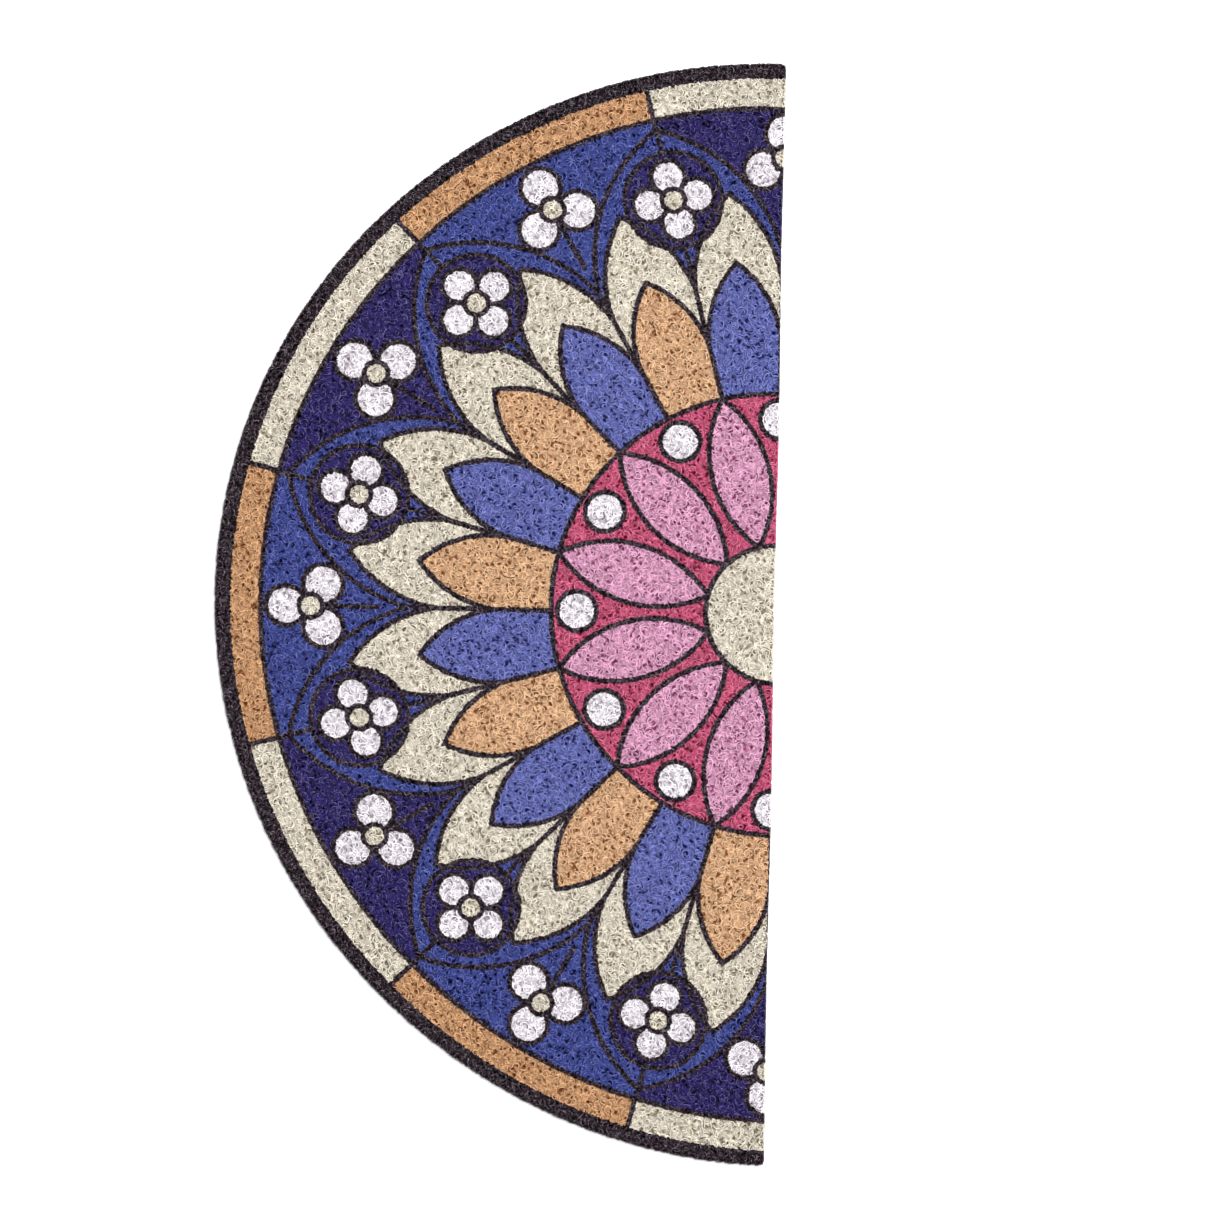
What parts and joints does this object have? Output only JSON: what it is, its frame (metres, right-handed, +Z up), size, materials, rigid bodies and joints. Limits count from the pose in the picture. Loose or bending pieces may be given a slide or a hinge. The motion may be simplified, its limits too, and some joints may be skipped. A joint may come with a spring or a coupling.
{
  "type": "doormat",
  "caption": "Half-round entrance mat of looped vinyl yarn with a printed rosette, lying flat, straight along its back edge.",
  "frame": {"origin": "middle of the mat's box, on the floor face", "axes": "+X along the straight edge, +Y towards the crown of the curved edge, +Z up out of the loops"},
  "size_m": [0.9, 0.4582, 0.01],
  "materials": {
    "printed_loop_yarn": "matte"
  },
  "bodies": {
    "root": {"mat": "printed_loop_yarn"}
  },
  "joints": []
}
